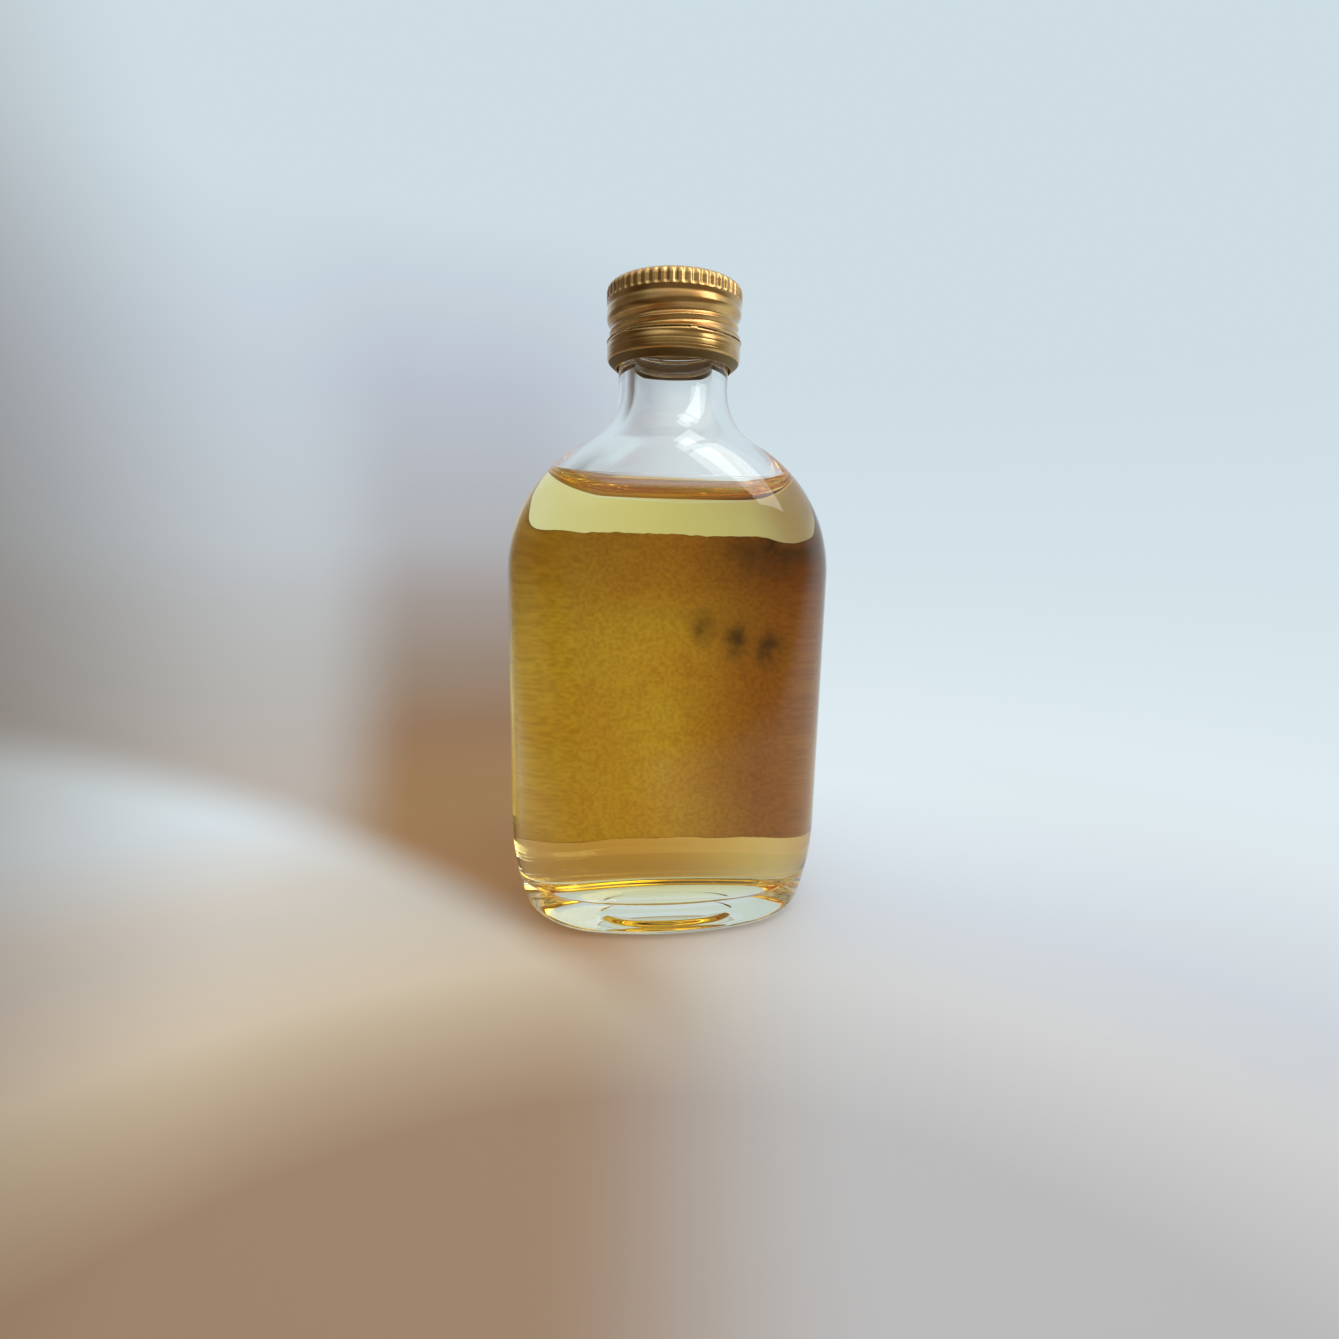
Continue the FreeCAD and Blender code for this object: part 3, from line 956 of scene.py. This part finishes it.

# Pale floor that runs out into the backdrop, and a soft room: pale behind the flask, dim behind the camera,
# with the flask's shadow and the warm light through its oil painted on its left
WINDOW_BEARING = 57.0
WINDOW_RISE = 46.0
WINDOW_DISTANCE = 0.6
WINDOW_RADIANCE = 3.2
WINDOW_COLOR = (0.94, 0.97, 1.0)
WINDOW_TARGET = (0, 0, 0.06)
ROOM = (0.2, 0.175, 0.15)
CEILING = (1.3, 1.26, 1.2)
FAR_LEFT = (0.32, 0.25, 0.2)
# Painted shadow tinted by amber light through the oil, on the floor behind the flask that is seen through
# its foot
HIDDEN_SHADE = (0.8, 0.5, 0.22)
VIEW_POINT = (-0.0138, -0.1006, 0.0533)
VIEW_RIGHT = (0.99, -0.136, 0.0)
BACKDROP = [
    (0.168, (0.475, 0.465, 0.465)),
    (0.231, (0.605, 0.6, 0.595)),
    (0.275, (0.6, 0.635, 0.68)),
    (0.345, (0.73, 0.81, 0.85)),
    (0.378, (0.735, 0.83, 0.87)),
    (0.5, (0.655, 0.755, 0.81)),
    (0.6, (0.62, 0.72, 0.78)),
]
# The flask's shadow painted on the backdrop and floor to its left, grey higher up and amber from light
# through the oil lower down
SHADE = [
    (0.28, (0.62, 0.36, 0.17)),
    (0.338, (0.46, 0.24, 0.1)),
    (0.378, (0.42, 0.23, 0.13)),
    (0.42, (0.45, 0.31, 0.23)),
    (0.462, (0.54, 0.41, 0.36)),
    (0.5, (0.66, 0.58, 0.56)),
    (0.595, (0.79, 0.74, 0.78)),
    (0.69, (1.0, 1.0, 1.0)),
]
# Painted warm light through the oil on the floor left of the flask, warmer and darker lower down towards the
# camera
PAINTED_OIL_GLOW = [
    (0.168, (0.7, 0.47, 0.3)),
    (0.212, (0.9, 0.72, 0.5)),
    (0.231, (1.0, 0.84, 0.64)),
    (0.29, (1.0, 0.86, 0.72)),
    (0.335, (1.0, 1.0, 1.0)),
]


# Parts of the room, as the outer and inner end of a span across, up or back
SHADE_SIDE = (0.1, -0.22)
SHADE_SLANT = 0.55
SHADE_EDGE = (-0.63, -0.56)
THIN_SHADE_SIDE = (-0.33, -0.46)
THIN_SHADE = 0.4
HIDDEN_RIGHT = (0.22, -0.05)
HIDDEN_LEFT = (-0.2, -0.12)
HIDDEN_TOP = (0.46, 0.4)
HIDDEN_BOTTOM = (0.23, 0.27)
OIL_GLOW_SIDE = (0.25, -0.15)
CEILING_UP = (0.42, 0.62)
CEILING_BACK = (0.3, 0.0)
CEILING_SIDE = (-0.6, 0.0)
BEHIND_BACK = (0.25, -0.25)
BEHIND_UP = (0.5, 0.2)
DIM_SIDE = (-0.47, -0.85)


def zone(tree, *spans):
    """1 inside a part of the room and 0 outside it, from (value, span) pairs."""
    share = 1.0
    for source, span in spans:
        share = math_node(tree, "MULTIPLY", share, eased(tree, source, *span))
    return share


def room_color(tree, direction):
    """The room's tone in a direction: a pale backdrop, the flask's shadow and the warm light through its oil
    painted on its left, and a dim front.
    """
    parts = add_node(tree, "ShaderNodeSeparateXYZ")
    sideways = add_node(tree, "ShaderNodeVectorMath", operation="DOT_PRODUCT")
    sideways.inputs[1].default_value = VIEW_RIGHT
    for node in (parts, sideways):
        tree.links.new(direction, node.inputs[0])
    back, rise, side = parts.outputs["Y"], parts.outputs["Z"], sideways.outputs["Value"]
    height = math_node(tree, "MULTIPLY_ADD", rise, 0.5)
    height.node.inputs[2].default_value = 0.5
    slanted = math_node(tree, "MULTIPLY_ADD", side, SHADE_SLANT)
    tree.links.new(rise, slanted.node.inputs[2])
    share = zone(tree, (side, SHADE_SIDE), (slanted, SHADE_EDGE))
    thin = math_node(tree, "MULTIPLY", eased(tree, side, *THIN_SHADE_SIDE), THIN_SHADE)
    share = math_node(tree, "MULTIPLY", share, math_node(tree, "SUBTRACT", 1.0, thin))
    hidden_spans = ((side, HIDDEN_RIGHT), (side, HIDDEN_LEFT), (height, HIDDEN_TOP), (height, HIDDEN_BOTTOM))
    shade = mixed(tree, share, WHITE, ramp(tree, height, SHADE))
    shade = mixed(tree, zone(tree, *hidden_spans), shade, HIDDEN_SHADE)
    oil_glow = mixed(tree, eased(tree, side, *OIL_GLOW_SIDE), WHITE, ramp(tree, height, PAINTED_OIL_GLOW))
    tone = mixed(tree, 1.0, ramp(tree, height, BACKDROP), shade, "MULTIPLY")
    tone = mixed(tree, 1.0, tone, oil_glow, "MULTIPLY")
    overhead = zone(tree, (rise, CEILING_UP), (back, CEILING_BACK), (side, CEILING_SIDE))
    tone = mixed(tree, overhead, tone, CEILING)
    tone = mixed(tree, zone(tree, (back, BEHIND_BACK), (rise, BEHIND_UP)), tone, ROOM)
    dim = mixed(tree, eased(tree, side, *DIM_SIDE), WHITE, FAR_LEFT)
    return mixed(tree, 1.0, tone, dim, "MULTIPLY")


# The floor glows like the backdrop far off, with the room's painted shadow and warm light, and close to the
# flask it is lit and takes its shadow
LIT_FLOOR = (1.1, 1.1, 1.1)
LIT_FLOOR_REACH = (0.11, 0.025)
LIT_FLOOR_SHARE = 0.6
FLOOR_RADIUS = 20.0
FLOOR_PLACE = (0, 0, -0.0001)

floor_material, floor_tree, floor_shader = new_material("pale_floor", (0.6, 0.6, 0.6), 0.8)
place = add_node(floor_tree, "ShaderNodeNewGeometry")
offset = add_node(floor_tree, "ShaderNodeVectorMath", operation="SUBTRACT")
offset.inputs[1].default_value = VIEW_POINT
sight = add_node(floor_tree, "ShaderNodeVectorMath", operation="NORMALIZE")
length = add_node(floor_tree, "ShaderNodeVectorMath", operation="LENGTH")
floor_tree.links.new(place.outputs["Position"], offset.inputs[0])
floor_tree.links.new(offset.outputs["Vector"], sight.inputs[0])
floor_tree.links.new(place.outputs["Position"], length.inputs[0])
floor_tone = room_color(floor_tree, sight.outputs["Vector"])
lit_tone = mixed(floor_tree, 1.0, floor_tone, LIT_FLOOR, "MULTIPLY")
floor_tree.links.new(lit_tone, floor_shader.inputs["Base Color"])
glow = add_node(floor_tree, "ShaderNodeEmission")
floor_tree.links.new(floor_tone, glow.inputs["Color"])
join = add_node(floor_tree, "ShaderNodeMixShader")
nearness = eased(floor_tree, length.outputs["Value"], *LIT_FLOOR_REACH)
near = math_node(floor_tree, "MULTIPLY", nearness, LIT_FLOOR_SHARE)
floor_tree.links.new(near, join.inputs[0])
floor_tree.links.new(glow.outputs["Emission"], join.inputs[1])
floor_tree.links.new(floor_shader.outputs["BSDF"], join.inputs[2])
floor_tree.links.new(join.outputs["Shader"], floor_tree.nodes["Material Output"].inputs["Surface"])
bpy.ops.mesh.primitive_circle_add(vertices=96, radius=FLOOR_RADIUS, fill_type="NGON", location=FLOOR_PLACE)
floor = bpy.context.object
floor.name = "floor"
floor.data.materials.append(floor_material)

world = bpy.data.worlds.new("soft_room")
bpy.context.scene.world = world
world.use_nodes = True
tree = world.node_tree
facing = add_node(tree, "ShaderNodeTexCoord")
tree.links.new(room_color(tree, facing.outputs["Generated"]), tree.nodes["Background"].inputs["Color"])


def window_pane(name, across, lift, width, height):
    """One pane of a soft window to the right of the flask and above it, facing the flask."""
    lamp = bpy.data.lights.new(name, "AREA")
    lamp.shape = "RECTANGLE"
    lamp.size = width
    lamp.size_y = height
    lamp.energy = WINDOW_RADIANCE * math.pi * width * height
    lamp.color = WINDOW_COLOR
    target = Vector(WINDOW_TARGET)
    bearing = math.radians(WINDOW_BEARING)
    rise = math.radians(WINDOW_RISE)
    back = Vector((math.sin(bearing) * math.cos(rise), -math.cos(bearing) * math.cos(rise), math.sin(rise)))
    right = Vector((math.cos(bearing), math.sin(bearing), 0))
    above = back.cross(right)
    place = target + back * WINDOW_DISTANCE + right * across + above * lift
    made = bpy.data.objects.new(name, lamp)
    made.matrix_world = Matrix.Translation(place) @ Matrix((right, above, back)).transposed().to_4x4()
    bpy.context.collection.objects.link(made)


window_pane("window_low", across=-0.03, lift=-0.05, width=0.26, height=0.54)
window_pane("window_high", across=-0.05, lift=0.315, width=0.22, height=0.13)

# Camera, fitted to the outline of the flask in the photo
CAMERA_DISTANCE = 101.52
CAMERA_HEIGHT = 53.25
CAMERA_BEARING = math.radians(-7.8)
CAMERA_PAN = 0.003
CAMERA_TILT = math.radians(10.0)
CAMERA_ROLL = math.radians(1.15)
FOCAL_SHARE = 700 / 1339
SENSOR = 36.0

level = Vector((-math.sin(CAMERA_BEARING), math.cos(CAMERA_BEARING), 0))
right = Vector((math.cos(CAMERA_BEARING), math.sin(CAMERA_BEARING), 0))
aim = level * math.cos(CAMERA_PAN) + right * math.sin(CAMERA_PAN)
right = right * math.cos(CAMERA_PAN) - level * math.sin(CAMERA_PAN)
forward = aim * math.cos(CAMERA_TILT) - Vector((0, 0, math.sin(CAMERA_TILT)))
above = aim * math.sin(CAMERA_TILT) + Vector((0, 0, math.cos(CAMERA_TILT)))
axis_right = right * math.cos(CAMERA_ROLL) + above * math.sin(CAMERA_ROLL)
axis_up = above * math.cos(CAMERA_ROLL) - right * math.sin(CAMERA_ROLL)
eye = level * -CAMERA_DISTANCE + Vector((0, 0, CAMERA_HEIGHT))
lens = bpy.data.cameras.new("camera")
lens.sensor_width = SENSOR
lens.lens = SENSOR * FOCAL_SHARE
lens.clip_start = 0.001
lens.clip_end = 50.0
camera = bpy.data.objects.new("camera", lens)
facing_camera = Matrix((axis_right, axis_up, -forward)).transposed().to_4x4()
camera.matrix_world = Matrix.Translation(eye * MM) @ facing_camera
bpy.context.collection.objects.link(camera)
bpy.context.scene.camera = camera

# Light that is thrown back inside the thick foot needs many bounces to leave it
LIGHT_BOUNCES = 64

scene = bpy.context.scene
scene.view_settings.view_transform = "Standard"
scene.cycles.max_bounces = LIGHT_BOUNCES
scene.cycles.transmission_bounces = LIGHT_BOUNCES
scene.cycles.glossy_bounces = LIGHT_BOUNCES
scene.cycles.transparent_max_bounces = 16
